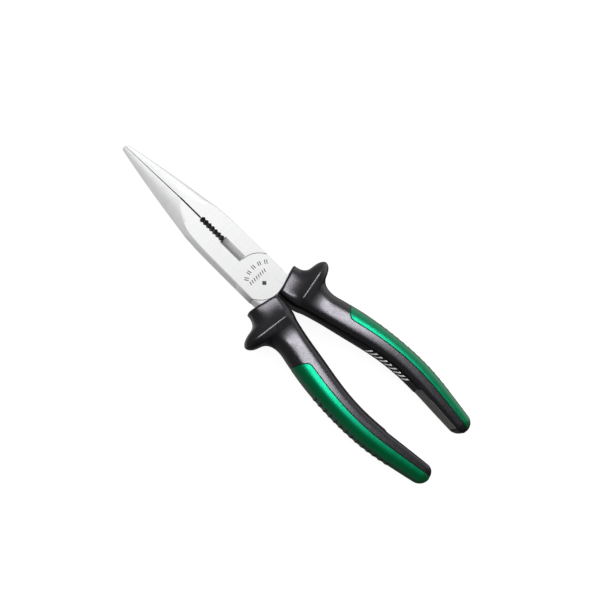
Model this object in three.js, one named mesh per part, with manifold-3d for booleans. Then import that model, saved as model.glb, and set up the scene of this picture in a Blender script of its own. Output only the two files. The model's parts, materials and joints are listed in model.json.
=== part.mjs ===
// Long-nose side-cutting pliers of the 200 mm class, with the jaws closed. Millimetres.
// +Y runs from the pivot to the nose, +X is the side of the right grip, and +Z is the front face.
// The origin is on the pivot axis, in the flat back face of the head. The two forged halves are one
// shape: the rear half is the front half turned half a turn about the Y axis.
import * as THREE from 'three';
import { mergeVertices } from 'three/addons/utils/BufferGeometryUtils.js';
import Module from 'manifold-3d';

const wasm = await Module();
wasm.setup();

// Head and nose
const NOSE_REACH = 85;
const HEAD_HALF_WIDTH = 9.75;
const HEAD_HALF_THICKNESS = 5;
const JAW_ARC_STEPS = 12;
const JAW_HEIGHTS = [85, 79, 72, 64, 57, 51, 46, 41, 36.8, 36.6, 33, 28, 20, 0];
const TIP_HALF_WIDTH = 1.65;
const TIP_HALF_THICKNESS = 1.5;
const NOSE_WIDENING = 0.205;
const NOSE_WIDENING_LOSS = 0.0008;
const NOSE_THICKENING = 0.11;
const FLAT_CHEEK_START = 32;
const FLAT_CHEEK_GROWTH = 0.0145;

// Gripping faces, measured from the jaws' middle plane, and along Y from the pivot
const GAP_AT_TIP = 0.1;
const GAP_AT_TEETH = 0.3;
const TEETH_FRONT = 36.7;
const TEETH_BACK = 23.2;
const TOOTH_COUNT = 7;
const TOOTH_CREST = 0.75;
const TOOTH_ROOT = 1.45;
const CUTTER_FRONT = 22.9;
const CUTTER_BACK = 11;
const CUTTER_HALF_WIDTH = 1.9;
const CUTTER_LAND = 0.3;

// Lap joint
const DISC_RADIUS = 10.7;
const POCKET_RADIUS = 10.9;
const LAP_HALF_GAP = 0.1;
const RIVET_RADIUS = 3.4;
const RIVET_CLEARANCE = 0.1;
const RIVET_CHAMFER = 0.3;
const JOINT_SEGMENTS = 64;

// Cutting tools run this far past the faces that they cut.
const OVERRUN = 1;
const CUT_LEVEL = HEAD_HALF_THICKNESS + OVERRUN;

// Handles
const HANDLE_SKEW = THREE.MathUtils.degToRad(1.8);
const TANG_HALF_WIDTH = [3.0, 2.2];
const TANG_HALF_THICKNESS = [2.8, 2.0];
const CORE_WALL = 0.8;
const CORE_CLEARANCE = 0.2;
const PIECE_GAP = 0.3;
const OVERLAY_THICKNESS = 1.2;

// Sections are superellipses: the roundness is 2 for an oval and rises towards a rectangle.
const GRIP_ROUNDNESS = 2.6;
const GRIP_SIDES = 16;
const FORGED_ROUNDNESS = 24;
const TANG_ROUNDNESS = 6;
const SPINE_SIDES = 8;
const BOX_ROUNDNESS = 60;
const BOX_SIDES = 4;

// Stations of the right grip from the collar to the tail:
// inner edge x, y, outer edge x, y, and half thickness.
const GRIP_STATIONS = [
  [2.1, -11.1, 15.0, -7.3, 6.4],
  [2.0, -13.4, 15.9, -11.0, 6.4],
  [1.9, -15.4, 18.2, -13.5, 6.7],
  [1.9, -17.1, 23.4, -14.6, 7.3],
  [1.9, -18.8, 26.6, -16.9, 7.9],
  [1.9, -20.6, 24.3, -19.4, 7.4],
  [2.0, -22.6, 20.4, -21.6, 6.9],
  [3.1, -27.5, 18.1, -26.9, 6.5],
  [4.6, -33.9, 18.8, -32.7, 6.5],
  [7.3, -46.0, 21.4, -44.4, 6.8],
  [10.1, -59.2, 23.2, -58.0, 7.0],
  [11.6, -73.4, 24.0, -73.4, 6.9],
  [11.3, -85.6, 23.4, -86.2, 6.6],
  [10.3, -97.6, 21.4, -99.1, 6.1],
  [9.4, -108.8, 19.3, -110.4, 5.5],
];
const WAIST_STATION = 7;
const TANG_END_STATION = 13;
const TAIL_STATION = GRIP_STATIONS.length - 1;
const RINGS_PER_STATION = 2;
const TAIL_TURNS = [30, 55, 75, 88].map(THREE.MathUtils.degToRad);

// Forged root of the tang, from the disc to the slender tang, in the same terms as the grip.
const TANG_ROOT = [
  [2.2, -4.0, 9.75, -0.5, 5],
  [2.2, -11.5, 9.75, -7.8, 5],
  [3.4, -15.9, 10.8, -13.3, 4.4],
  [5.6, -23.0, 12.4, -21.6, 3.2],
];

// The overlay starts at a slant, on the grip's middle line and on its outer side.
const OVERLAY_NOSE = { middle: [13.9, -43.5], outer: [30.0, -26.3] };
const OVERLAY_FIRST_STATION = 10;
const OVERLAY_REACH = 16;
const OVERLAY_HALF_THICKNESS = 12;
const OVERLAY_TAIL = { inward: 1.3, down: 9 };

// ---- Solids ----

function toSolid(geometry) {
  const bare = geometry.index ? geometry.toNonIndexed() : geometry.clone();
  bare.deleteAttribute('normal');
  bare.deleteAttribute('uv');
  const merged = mergeVertices(bare, 1e-4);
  return new wasm.Manifold(new wasm.Mesh({
    numProp: 3,
    vertProperties: new Float32Array(merged.attributes.position.array),
    triVerts: new Uint32Array(merged.index.array),
  }));
}

function toGeometry(solid) {
  const mesh = solid.getMesh();
  const indexed = new THREE.BufferGeometry();
  indexed.setAttribute('position', new THREE.BufferAttribute(mesh.vertProperties, 3));
  indexed.setIndex(new THREE.BufferAttribute(mesh.triVerts, 1));
  const geometry = indexed.toNonIndexed();
  geometry.computeVertexNormals();
  return geometry;
}

// A closed surface through rings of equal length, with a fan over each end ring.
function loft(rings) {
  const sides = rings[0].length;
  const middles = [rings[0], rings.at(-1)].map(ringMiddle);
  const points = [...rings.flat(), ...middles];
  const corner = (ring, side) => ring * sides + (side % sides);
  const last = rings.length - 1;
  const first = rings.length * sides;
  const index = [];
  for (let side = 0; side < sides; side += 1) {
    for (let ring = 0; ring < last; ring += 1) {
      const [a, b] = [corner(ring, side), corner(ring, side + 1)];
      const [c, d] = [corner(ring + 1, side), corner(ring + 1, side + 1)];
      index.push(a, b, d, a, d, c);
    }
    index.push(first, corner(0, side + 1), corner(0, side));
    index.push(first + 1, corner(last, side), corner(last, side + 1));
  }
  const geometry = new THREE.BufferGeometry().setFromPoints(points);
  geometry.setIndex(index);
  return geometry;
}

function ringMiddle(ring) {
  const middle = new THREE.Vector3();
  ring.forEach((point) => middle.add(point));
  return middle.divideScalar(ring.length);
}

function zCylinder(radius, low, high) {
  const geometry = new THREE.CylinderGeometry(radius, radius, high - low, JOINT_SEGMENTS);
  geometry.rotateX(Math.PI / 2);
  geometry.translate(0, 0, (low + high) / 2);
  return toSolid(geometry);
}

function zExtrusion(points, low, high) {
  const shape = new THREE.Shape(points.map(([x, y]) => new THREE.Vector2(x, y)));
  const geometry = new THREE.ExtrudeGeometry(shape, { depth: high - low, bevelEnabled: false });
  geometry.translate(0, 0, low);
  return toSolid(geometry);
}

// ---- Forged halves ----

// Half-round section of the left jaw: an ellipse cut flat at the head's two faces.
function jawRing(y) {
  const reach = NOSE_REACH - y;
  const taper = NOSE_WIDENING * reach - NOSE_WIDENING_LOSS * reach * reach;
  const width = Math.min(TIP_HALF_WIDTH + taper, HEAD_HALF_WIDTH);
  const past = Math.max(0, reach - FLAT_CHEEK_START);
  const depth = TIP_HALF_THICKNESS + NOSE_THICKENING * reach + FLAT_CHEEK_GROWTH * past * past;
  const along = reach / (NOSE_REACH - TEETH_FRONT);
  const opened = THREE.MathUtils.lerp(GAP_AT_TIP, GAP_AT_TEETH, along);
  const gap = y < TEETH_FRONT ? GAP_AT_TIP : opened;
  const ring = [];
  for (let i = 0; i <= JAW_ARC_STEPS; i += 1) {
    const angle = Math.PI * (0.5 - i / JAW_ARC_STEPS);
    const z = THREE.MathUtils.clamp(
      depth * Math.sin(angle), -HEAD_HALF_THICKNESS, HEAD_HALF_THICKNESS,
    );
    ring.push(new THREE.Vector3(-gap - (width - gap) * Math.cos(angle), y, z));
  }
  return ring;
}

function leftJaw() {
  return toSolid(loft(JAW_HEIGHTS.map(jawRing)));
}

// The pipe grip between the jaws: a row of diamond-shaped openings.
function teethOpening() {
  const pitch = (TEETH_FRONT - TEETH_BACK) / TOOTH_COUNT;
  const edge = [[TOOTH_CREST, TEETH_BACK]];
  for (let i = 1; i <= TOOTH_COUNT; i += 1) {
    edge.push([TOOTH_ROOT, TEETH_BACK + pitch * (i - 0.5)]);
    edge.push([TOOTH_CREST, TEETH_BACK + pitch * i]);
  }
  const mirrored = edge.map(([x, y]) => [-x, y]).reverse();
  return zExtrusion([...edge, ...mirrored], -CUT_LEVEL, CUT_LEVEL);
}

// Ground bevels behind the cutting edge, one on each face of the head.
function cutterBevels() {
  const slope = CUTTER_HALF_WIDTH / HEAD_HALF_THICKNESS;
  const bevel = [
    [CUTTER_HALF_WIDTH, CUTTER_LAND],
    [CUTTER_HALF_WIDTH, CUT_LEVEL],
    [-GAP_AT_TIP - slope * (CUT_LEVEL - CUTTER_LAND), CUT_LEVEL],
    [-GAP_AT_TIP, CUTTER_LAND],
  ];
  return [1, -1].map((side) => {
    const shape = new THREE.Shape(bevel.map(([x, z]) => new THREE.Vector2(x, side * z)));
    const depth = CUTTER_FRONT - CUTTER_BACK;
    const geometry = new THREE.ExtrudeGeometry(shape, { depth, bevelEnabled: false });
    return geometry.rotateX(Math.PI / 2).translate(0, CUTTER_FRONT, 0);
  });
}

// The joint disc is trimmed flush with the sides of the head.
function jointDisc() {
  const tall = POCKET_RADIUS + OVERRUN;
  const sides = [
    [-HEAD_HALF_WIDTH, -tall], [HEAD_HALF_WIDTH, -tall],
    [HEAD_HALF_WIDTH, tall], [-HEAD_HALF_WIDTH, tall],
  ];
  return zCylinder(DISC_RADIUS, LAP_HALF_GAP, HEAD_HALF_THICKNESS)
    .intersect(zExtrusion(sides, 0, CUT_LEVEL));
}

// ---- Handles ----

const innerRail = new THREE.CatmullRomCurve3(
  GRIP_STATIONS.map(([x, y]) => new THREE.Vector3(x, y, 0)),
);
const outerRail = new THREE.CatmullRomCurve3(
  GRIP_STATIONS.map(([, , x, y, thick]) => new THREE.Vector3(x, y, thick)),
);

function stationAt(number) {
  const at = number / TAIL_STATION;
  const inner = innerRail.getPoint(at);
  const outer = outerRail.getPoint(at);
  const thick = outer.z;
  outer.z = 0;
  return { inner, outer, thick };
}

// Oval ring between an inner and an outer edge, drawn in by the inset.
function ovalRing({ inner, outer, thick }, inset, roundness, sides, scale = 1, shift = 0) {
  const middle = inner.clone().add(outer).multiplyScalar(0.5);
  const across = outer.clone().sub(inner).multiplyScalar(0.5);
  const wide = (across.length() - inset) * scale;
  const high = (thick - inset) * scale;
  across.normalize();
  const tailward = new THREE.Vector3(across.y, -across.x, 0);
  const power = 2 / roundness;
  const ring = [];
  for (let i = 0; i < sides; i += 1) {
    const angle = (2 * Math.PI * (i + 0.5)) / sides;
    const x = Math.sign(Math.cos(angle)) * Math.abs(Math.cos(angle)) ** power;
    const z = Math.sign(Math.sin(angle)) * Math.abs(Math.sin(angle)) ** power;
    const point = middle.clone().addScaledVector(across, wide * x);
    point.addScaledVector(tailward, shift);
    point.z = high * z;
    ring.push(point);
  }
  return ring;
}

// The whole grip with its rounded tail, drawn in by the inset.
function gripSolid(inset) {
  const rings = [];
  for (let i = 0; i <= TAIL_STATION * RINGS_PER_STATION; i += 1) {
    rings.push(ovalRing(stationAt(i / RINGS_PER_STATION), inset, GRIP_ROUNDNESS, GRIP_SIDES));
  }
  const tail = stationAt(TAIL_STATION);
  const radius = tail.outer.distanceTo(tail.inner) / 2 - inset;
  for (const turn of TAIL_TURNS) {
    const [scale, shift] = [Math.cos(turn), radius * Math.sin(turn)];
    rings.push(ovalRing(tail, inset, GRIP_ROUNDNESS, GRIP_SIDES, scale, shift));
  }
  return toSolid(loft(rings));
}

// A bar along the grip's middle line between two stations, grown by a clearance on every side.
function spine(from, to, grow, root = []) {
  const rings = root.map(([ix, iy, ox, oy, thick]) => ovalRing(
    { inner: new THREE.Vector3(ix, iy, 0), outer: new THREE.Vector3(ox, oy, 0), thick },
    -grow, FORGED_ROUNDNESS, SPINE_SIDES,
  ));
  for (let number = from; number <= to; number += 1) {
    const { inner, outer } = stationAt(number);
    const middle = inner.clone().add(outer).multiplyScalar(0.5);
    const across = outer.clone().sub(inner).normalize();
    const part = (number - WAIST_STATION) / (TANG_END_STATION - WAIST_STATION);
    const wide = THREE.MathUtils.lerp(...TANG_HALF_WIDTH, part);
    const station = {
      inner: middle.clone().addScaledVector(across, -wide),
      outer: middle.clone().addScaledVector(across, wide),
      thick: THREE.MathUtils.lerp(...TANG_HALF_THICKNESS, part),
    };
    const shift = number === to ? grow : 0;
    rings.push(ovalRing(station, -grow, TANG_ROUNDNESS, SPINE_SIDES, 1, shift));
  }
  return toSolid(loft(rings));
}

function tang(grow) {
  return spine(WAIST_STATION, TANG_END_STATION, grow, TANG_ROOT);
}

function gripCore() {
  const outside = spine(WAIST_STATION, TANG_END_STATION, CORE_CLEARANCE + CORE_WALL);
  return outside.subtract(tang(CORE_CLEARANCE));
}

// The space that the overlay is moulded into: the outer side of the grip, from its nose to the tail.
function overlaySpace(grow) {
  const { middle, outer } = OVERLAY_NOSE;
  const edges = [[middle[0] - grow, middle[1] + grow, outer[0], outer[1] + grow]];
  for (let number = OVERLAY_FIRST_STATION; number <= TAIL_STATION; number += 1) {
    const station = stationAt(number);
    const centre = station.inner.clone().add(station.outer).multiplyScalar(0.5);
    edges.push([centre.x - grow, centre.y, centre.x + OVERLAY_REACH, centre.y - 1]);
  }
  const [x, y] = edges.at(-1);
  const end = y - OVERLAY_TAIL.down;
  edges.push([x - OVERLAY_TAIL.inward, end, x + OVERLAY_REACH, end]);
  const rings = edges.map(([ix, iy, ox, oy]) => {
    const [inner, tip] = [new THREE.Vector3(ix, iy, 0), new THREE.Vector3(ox, oy, 0)];
    const station = { inner, outer: tip, thick: OVERLAY_HALF_THICKNESS };
    return ovalRing(station, 0, BOX_ROUNDNESS, BOX_SIDES);
  });
  return toSolid(loft(rings));
}

function gripOverlay() {
  return gripSolid(0).intersect(overlaySpace(0)).subtract(gripSolid(OVERLAY_THICKNESS));
}

function gripBody() {
  const seat = overlaySpace(PIECE_GAP).subtract(gripSolid(OVERLAY_THICKNESS + PIECE_GAP));
  const coreSeat = spine(
    WAIST_STATION, TANG_END_STATION, CORE_CLEARANCE + CORE_WALL + PIECE_GAP,
  );
  return gripSolid(0).subtract(seat).subtract(tang(PIECE_GAP)).subtract(coreSeat);
}

function turned(solid, angle) {
  return toSolid(toGeometry(solid).rotateZ(angle));
}

// One forging: left jaw, front disc and the tang of the right handle.
function forgedHalf(skew) {
  const pocket = zCylinder(POCKET_RADIUS, -CUT_LEVEL, LAP_HALF_GAP);
  let half = leftJaw().add(turned(tang(0), skew)).subtract(pocket).add(jointDisc());
  half = half.subtract(teethOpening());
  for (const bevel of cutterBevels()) {
    half = half.subtract(toSolid(bevel));
  }
  const hole = RIVET_RADIUS + RIVET_CLEARANCE;
  return half.subtract(zCylinder(hole, -CUT_LEVEL, CUT_LEVEL));
}

function pivotRivet() {
  const end = HEAD_HALF_THICKNESS;
  const profile = [
    [0, -end], [RIVET_RADIUS - RIVET_CHAMFER, -end], [RIVET_RADIUS, RIVET_CHAMFER - end],
    [RIVET_RADIUS, end - RIVET_CHAMFER], [RIVET_RADIUS - RIVET_CHAMFER, end], [0, end],
  ].map(([x, y]) => new THREE.Vector2(x, y));
  const geometry = new THREE.LatheGeometry(profile, JOINT_SEGMENTS);
  return geometry.rotateX(Math.PI / 2);
}

// ---- Materials and assembly ----

function steel() {
  return new THREE.MeshStandardMaterial({ color: 0xdcdddf, roughness: 0.28, metalness: 1 });
}

function blackMoulding() {
  return new THREE.MeshStandardMaterial({ color: 0x1c1b1f, roughness: 0.45, metalness: 0 });
}

function corePlastic() {
  return new THREE.MeshStandardMaterial({ color: 0x2a2a2c, roughness: 0.6, metalness: 0 });
}

function greenMoulding() {
  return new THREE.MeshStandardMaterial({ color: 0x0a8f5c, roughness: 0.3, metalness: 0 });
}

function piece(name, geometry, material) {
  const mesh = new THREE.Mesh(geometry, material);
  mesh.name = name;
  return mesh;
}

// A grip group: its pieces are drawn for the right handle, then turned by the handle's skew.
function gripGroup(side, skew) {
  const group = new THREE.Group();
  group.rotation.z = skew;
  group.add(piece(`${side}_grip_core`, toGeometry(gripCore()), corePlastic()));
  group.add(piece(`${side}_grip_body`, toGeometry(gripBody()), blackMoulding()));
  group.add(piece(`${side}_grip_overlay`, toGeometry(gripOverlay()), greenMoulding()));
  return group;
}

const pliers = new THREE.Group();
pliers.position.z = HEAD_HALF_THICKNESS;

const frontGroup = new THREE.Group();
frontGroup.add(piece('front_half', toGeometry(forgedHalf(HANDLE_SKEW)), steel()));
frontGroup.add(gripGroup('right', HANDLE_SKEW));

const rearGroup = new THREE.Group();
rearGroup.rotation.y = Math.PI;
rearGroup.add(piece('rear_half', toGeometry(forgedHalf(-HANDLE_SKEW)), steel()));
rearGroup.add(gripGroup('left', -HANDLE_SKEW));

pliers.add(frontGroup, rearGroup, piece('pivot_rivet', pivotRivet(), steel()));

export default pliers;
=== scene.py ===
"""Needle nose pliers: the finished surfaces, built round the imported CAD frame.

Shapes are worked out in millimetres in the lap frame, whose origin is on the pivot axis in the
middle of the head. +Y is the nose, +X the right grip and +Z the front face. The left-hand pieces
are the right-hand ones turned half a turn about Y, as on the tool.
"""

import json
import math

import bmesh
import bpy
import numpy as np
from mathutils import Matrix, Vector, kdtree


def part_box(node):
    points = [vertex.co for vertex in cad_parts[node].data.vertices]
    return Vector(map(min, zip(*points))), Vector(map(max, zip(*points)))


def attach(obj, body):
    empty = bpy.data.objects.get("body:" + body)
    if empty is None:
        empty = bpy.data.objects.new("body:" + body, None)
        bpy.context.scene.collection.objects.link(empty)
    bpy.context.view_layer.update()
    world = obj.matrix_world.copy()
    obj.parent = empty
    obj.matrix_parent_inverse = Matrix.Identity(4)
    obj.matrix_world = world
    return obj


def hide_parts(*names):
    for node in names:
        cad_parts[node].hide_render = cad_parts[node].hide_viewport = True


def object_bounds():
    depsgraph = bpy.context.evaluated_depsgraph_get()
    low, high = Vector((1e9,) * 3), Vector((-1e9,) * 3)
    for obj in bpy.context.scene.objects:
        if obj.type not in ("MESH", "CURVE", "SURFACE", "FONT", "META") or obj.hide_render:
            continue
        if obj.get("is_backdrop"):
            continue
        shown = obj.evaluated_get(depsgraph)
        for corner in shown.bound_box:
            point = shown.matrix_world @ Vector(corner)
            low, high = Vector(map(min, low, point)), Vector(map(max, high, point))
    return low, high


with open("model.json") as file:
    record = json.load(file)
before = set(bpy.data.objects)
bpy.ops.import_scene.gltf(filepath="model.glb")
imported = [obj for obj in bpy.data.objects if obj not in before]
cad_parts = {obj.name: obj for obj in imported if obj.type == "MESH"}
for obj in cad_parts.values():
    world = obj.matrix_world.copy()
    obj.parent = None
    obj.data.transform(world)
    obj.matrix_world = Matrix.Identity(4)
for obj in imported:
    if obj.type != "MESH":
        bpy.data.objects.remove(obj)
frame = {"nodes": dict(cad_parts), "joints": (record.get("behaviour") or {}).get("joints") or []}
cad_box = [list(corner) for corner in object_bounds()]

# ---- Sizes from the frame ----

MM = 0.001
head_low, head_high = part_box("front_half")
rivet_low, rivet_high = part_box("pivot_rivet")
PIVOT = Vector(frame["joints"][0]["pos_m"])
NOSE_REACH = head_high.y / MM
HEAD_HALF_WIDTH = -head_low.x / MM
HEAD_HALF = (rivet_high.z - rivet_low.z) / 2 / MM
RIVET_RADIUS = (rivet_high.x - rivet_low.x) / 2 / MM

# ---- Sizes of the finished shapes, millimetres ----

TIP_HALF_WIDTH, TIP_HALF_DEPTH = 1.65, 1.5
NOSE_WIDENING, NOSE_WIDENING_LOSS = 0.205, 0.0008
NOSE_THICKENING, CHEEK_START, CHEEK_GROWTH, NOSE_SQUARENESS = 0.095, 38.5, 0.02, 2.6
# Rounding of the very tip: how far ahead of the end it starts, its length, and the shares of the
# full size that it starts with and gains.
TIP_ROUND_START, TIP_ROUND_LENGTH, TIP_BLUNT_SHARE, TIP_GAINED_SHARE = 0.15, 0.7, 0.7, 0.3
TIP_STEPS = (0, 0.08, 0.2, 0.4, 0.7)
GAP_AT_TIP, GAP_AT_TEETH = 0.08, 0.3
# The chamfer grows between two distances from the tip, and cuts in by a share of its height.
EDGE_BREAK, SIDE_CHAMFER, CHAMFER_GROWTH, CHAMFER_INSET = 0.12, 0.5, (40, 56), 0.6
SERRATION_PITCH, SERRATION_DEPTH = 0.9, 0.22
# Plain lengths of the gripping face beside the pipe grip and at the tip.
PLAIN_AT_TEETH, PLAIN_AT_TIP = 0.5, 1
FLAT_POINTS, FLANK_POINTS, FACE_POINTS, PLAIN_ROW_STEP = 5, 61, 7, 1.2
TEETH_FRONT, TEETH_BACK, TOOTH_COUNT = 36.7, 23.2, 7
TOOTH_CREST, TOOTH_ROOT = 0.75, 1.45
CUTTER_FRONT, CUTTER_BACK, CUTTER_HALF_WIDTH, CUTTER_LAND = 23.3, 11, 1.9, 0.3
DISC_RADIUS, POCKET_RADIUS, LAP_GAP = 10.7, 10.82, 0.1
RIVET_EDGE, RIVET_FIT = 0.01, 0.004
DISC_SIDES, RIVET_SIDES = 192, 96
OVERRUN = 1.0

SKEW = math.radians(1.8)
# Right grip, collar to tail: inner edge x, y, outer edge x, y, half thickness without the guard.
STATIONS = np.array([
    [0.55, -11.0, 15.3, -7.0, 6.48],
    [0.6, -13.7, 16.2, -10.8, 6.4],
    [0.7, -16.3, 18.5, -13.1, 6.34],
    [0.95, -18.7, 23.7, -14.2, 6.4],
    [1.3, -21.0, 26.8, -16.8, 6.55],
    [1.85, -22.8, 25.1, -19.8, 6.62],
    [2.5, -24.6, 20.6, -22.0, 6.52],
    [3.4, -28.3, 18.1, -26.9, 6.38],
    [4.7, -33.9, 18.8, -32.7, 6.5],
    [7.3, -46.0, 21.4, -44.4, 6.8],
    [10.1, -59.2, 23.2, -58.0, 7.0],
    [11.6, -73.4, 24.0, -73.4, 6.9],
    [11.3, -85.6, 23.4, -86.2, 6.6],
    [10.3, -97.6, 21.4, -99.1, 6.1],
    [9.4, -108.8, 19.3, -110.4, 5.5],
])
GUARD_STATION, WAIST_STATION, TANG_END, TAIL_STATION = 4, 7, 13, 14
# The guard's height, its flare towards the nose and the tail, the width of its crest line, and
# the shares of the half width between which it rises on the inner side.
GUARD_HEIGHT, GUARD_FLARE, GUARD_CREST, GUARD_RISE = 1.45, (2.4, 3.8), 0.75, (-0.95, -0.6)
# Roundness of the section's inner and outer halves, at the collar and along the grip.
INNER_ROUNDNESS, OUTER_ROUNDNESS = (7, 2.9), (2.9, 2.35)
COLLAR_BLEND = (3.5, 8)
# The tail's dome begins at this turn, and normals are taken no nearer its pole than this share.
DOME_START, DOME_LIMIT = math.radians(3), 0.985
COLLAR_ROUND = 0.9
# Flat facet on the inner flank near the tail, in station numbers, and how far it cuts in.
FACET_START, FACET_SLANT, FACET_STEP, FACET_CUT, FACET_TOLERANCE = 11.84, 0.2, 0.1, 0.18, 0.012
FACET_ROW_STEP = 0.0123
GROOVE_GAP, GROOVE_ROUND, OVERLAY_DEPTH, OVERLAY_PROUD = 0.1, 0.28, 1.2, 0.05
OVERLAY_OUTER_Y, OVERLAY_MIDDLE_Y = -37.6, -43.5
# Points round the moulding, over the inlay and across its floor, crowded towards the groove.
MOULDING_POINTS, INLAY_POINTS, FLOOR_POINTS, GROOVE_CROWDING = 141, 81, 41, 0.75

RIB_FIRST_Y, RIB_PITCH, RIB_COUNT, RIB_REACH = -54.2, 3.2, 14, 0.62
RIB_WIDTH, RIB_HEIGHT, RIB_SUNK = 1.7, 0.36, 0.4
PRINT_SPAN, PRINT_COUNT, PRINT_STROKE, PRINT_SLANT = (-55.5, -77.5), 9, 0.95, 0.14
PRINT_SUNK, PRINT_PROUD = 0.05, 0.03
PRINT_LOW, PRINT_HIGH = math.radians(187), math.radians(150)
# The mark on the front disc: pairs of ticks on an arc (first and last angle, count), a row of
# ticks under it (first and last x, count) and a diamond (x, y, length, width).
MARK_CENTRE, MARK_RADIUS, MARK_ARC, MARK_PAIR = (0.5, -5.2), 10.2, (124, 53, 5), 0.48
MARK_ROW, MARK_ROW_Y, MARK_ROW_SLANT = (-5.3, 3.5, 8), 0.6, math.radians(70)
MARK_HEIGHT, MARK_STROKE, MARK_DIAMOND = 2.0, 0.38, (-0.8, -3.4, 1.8, 1.8)
MARK_ROW_SHARE, MARK_SUNK, MARK_PROUD = 0.85, 0.04, 0.008

# Forged root of the tang, in the same terms as the stations.
TANG_ROOT = np.array([
    [2.2, -4.0, 9.75, -0.5, 5],
    [2.5, -9.5, 9.75, -6.0, 5],
    [3.0, -12.3, 9.75, -9.6, 5],
    [3.5, -15.9, 10.6, -13.3, 4.4],
    [5.6, -23.0, 12.4, -21.6, 3.2],
])
TANG_HALF_WIDTH, TANG_HALF_DEPTH = (3.0, 2.2), (2.8, 2.0)
ROOT_ROUNDNESS, TANG_ROUNDNESS = 14, 6
# Room that the seat in the moulding leaves round the sleeve, the tang's root and the head.
CORE_WALL_AND_CLEARANCE, ROOT_CLEARANCE, HEAD_CLEARANCE = 1.3, 0.3, 0.12


def smoothstep(low, high, value):
    t = np.clip((value - low) / (high - low), 0, 1)
    return t * t * (3 - 2 * t)


# ---- Mesh building ----

def grid_faces(rows, columns, closed):
    """Quads of a grid of points stored row by row; closed joins the last column to the first."""
    wide = columns if closed else columns - 1
    row, column = np.meshgrid(np.arange(rows - 1), np.arange(wide), indexing="ij")
    following = (column + 1) % columns
    corners = [row * columns + column, row * columns + following,
               (row + 1) * columns + following, (row + 1) * columns + column]
    return np.stack(corners, -1).reshape(-1, 4)


def build_mesh(name, parts, caps=()):
    """One mesh from (points, faces) parts, with coincident points merged and faces turned out."""
    points, faces, start = [], [], 0
    for part_points, part_faces in parts:
        points.append(np.asarray(part_points, float).reshape(-1, 3))
        faces += [tuple(int(i) + start for i in face) for face in part_faces]
        start += len(points[-1])
    mesh = bpy.data.meshes.new(name)
    mesh.from_pydata(np.vstack(points).tolist(), [], faces + [tuple(cap) for cap in caps])
    work = bmesh.new()
    work.from_mesh(mesh)
    bmesh.ops.remove_doubles(work, verts=work.verts, dist=1e-4)
    bmesh.ops.dissolve_degenerate(work, edges=work.edges, dist=1e-5)
    bmesh.ops.recalc_face_normals(work, faces=work.faces)
    work.to_mesh(mesh)
    work.free()
    return mesh


def closed_lofts(name, solids):
    """Closed solids, each through equal rings with a flat face over each end ring."""
    parts, ends, start = [], [], 0
    for rings in solids:
        rings = np.asarray(rings)
        rows, columns = rings.shape[:2]
        last = start + (rows - 1) * columns
        parts.append((rings, grid_faces(rows, columns, True)))
        ends += [range(start, start + columns), range(last, last + columns)]
        start = last + columns
    return build_mesh(name, parts, ends)


def closed_loft(name, rings):
    return closed_lofts(name, [rings])


def temporary(mesh):
    thing = bpy.data.objects.new(mesh.name, mesh)
    bpy.context.scene.collection.objects.link(thing)
    return thing


def combine(mesh, others, operation):
    """The exact boolean of a mesh with others, one after another."""
    for other in others:
        body, tool = temporary(mesh), temporary(other)
        boolean = body.modifiers.new("cut", "BOOLEAN")
        boolean.operation, boolean.solver, boolean.object = operation, "EXACT", tool
        boolean.material_mode = "TRANSFER"
        evaluated = body.evaluated_get(bpy.context.evaluated_depsgraph_get())
        mesh = bpy.data.meshes.new_from_object(evaluated)
        for thing in (body, tool):
            bpy.data.objects.remove(thing)
    return mesh


def piece(name, mesh, body, replaced, sharp=35):
    """A finished object: mesh from lap-frame millimetres to row-frame metres, riding on a body."""
    mesh.name = name
    mesh.transform(Matrix.Translation(PIVOT) @ Matrix.Scale(MM, 4))
    mesh.shade_smooth()
    mesh.set_sharp_from_angle(angle=math.radians(sharp))
    made = bpy.data.objects.new(name, mesh)
    bpy.context.scene.collection.objects.link(made)
    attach(made, body)
    if replaced:
        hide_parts(replaced)
    return made


def turned_about_y(mesh):
    copy = mesh.copy()
    copy.transform(Matrix.Rotation(math.pi, 4, "Y"))
    return copy


# ---- Sections and solids of revolution ----

def superellipse(phi, roundness):
    """Unit superellipse at polar angles, with its own roundness on the inner and outer halves."""
    inner, outer = roundness
    power = np.where(np.cos(phi) < 0, inner, outer)
    reach = (np.abs(np.cos(phi)) ** power + np.abs(np.sin(phi)) ** power) ** (-1 / power)
    return reach * np.cos(phi), reach * np.sin(phi)


def bar_ring(inner, outer, thick, grow, roundness, phi):
    """Section of a bar between two edges, grown on all sides."""
    inner, outer = np.asarray(inner, float), np.asarray(outer, float)
    across = outer - inner
    half = np.linalg.norm(across) / 2
    across = across / (2 * half)
    x, z = superellipse(phi, (roundness, roundness))
    flat = (inner + outer) / 2 + (half + grow) * x[:, None] * across
    return np.column_stack([flat, (thick + grow) * z])


def lathe(name, profile, sides):
    """A solid of revolution about Z from a profile of radius and height, axis to axis."""
    turn = np.linspace(0, 2 * math.pi, sides, endpoint=False)
    rings = [np.column_stack([r * np.cos(turn), r * np.sin(turn), np.full(sides, z)])
             for r, z in profile]
    return closed_loft(name, rings)


# ---- Forged halves ----

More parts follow.
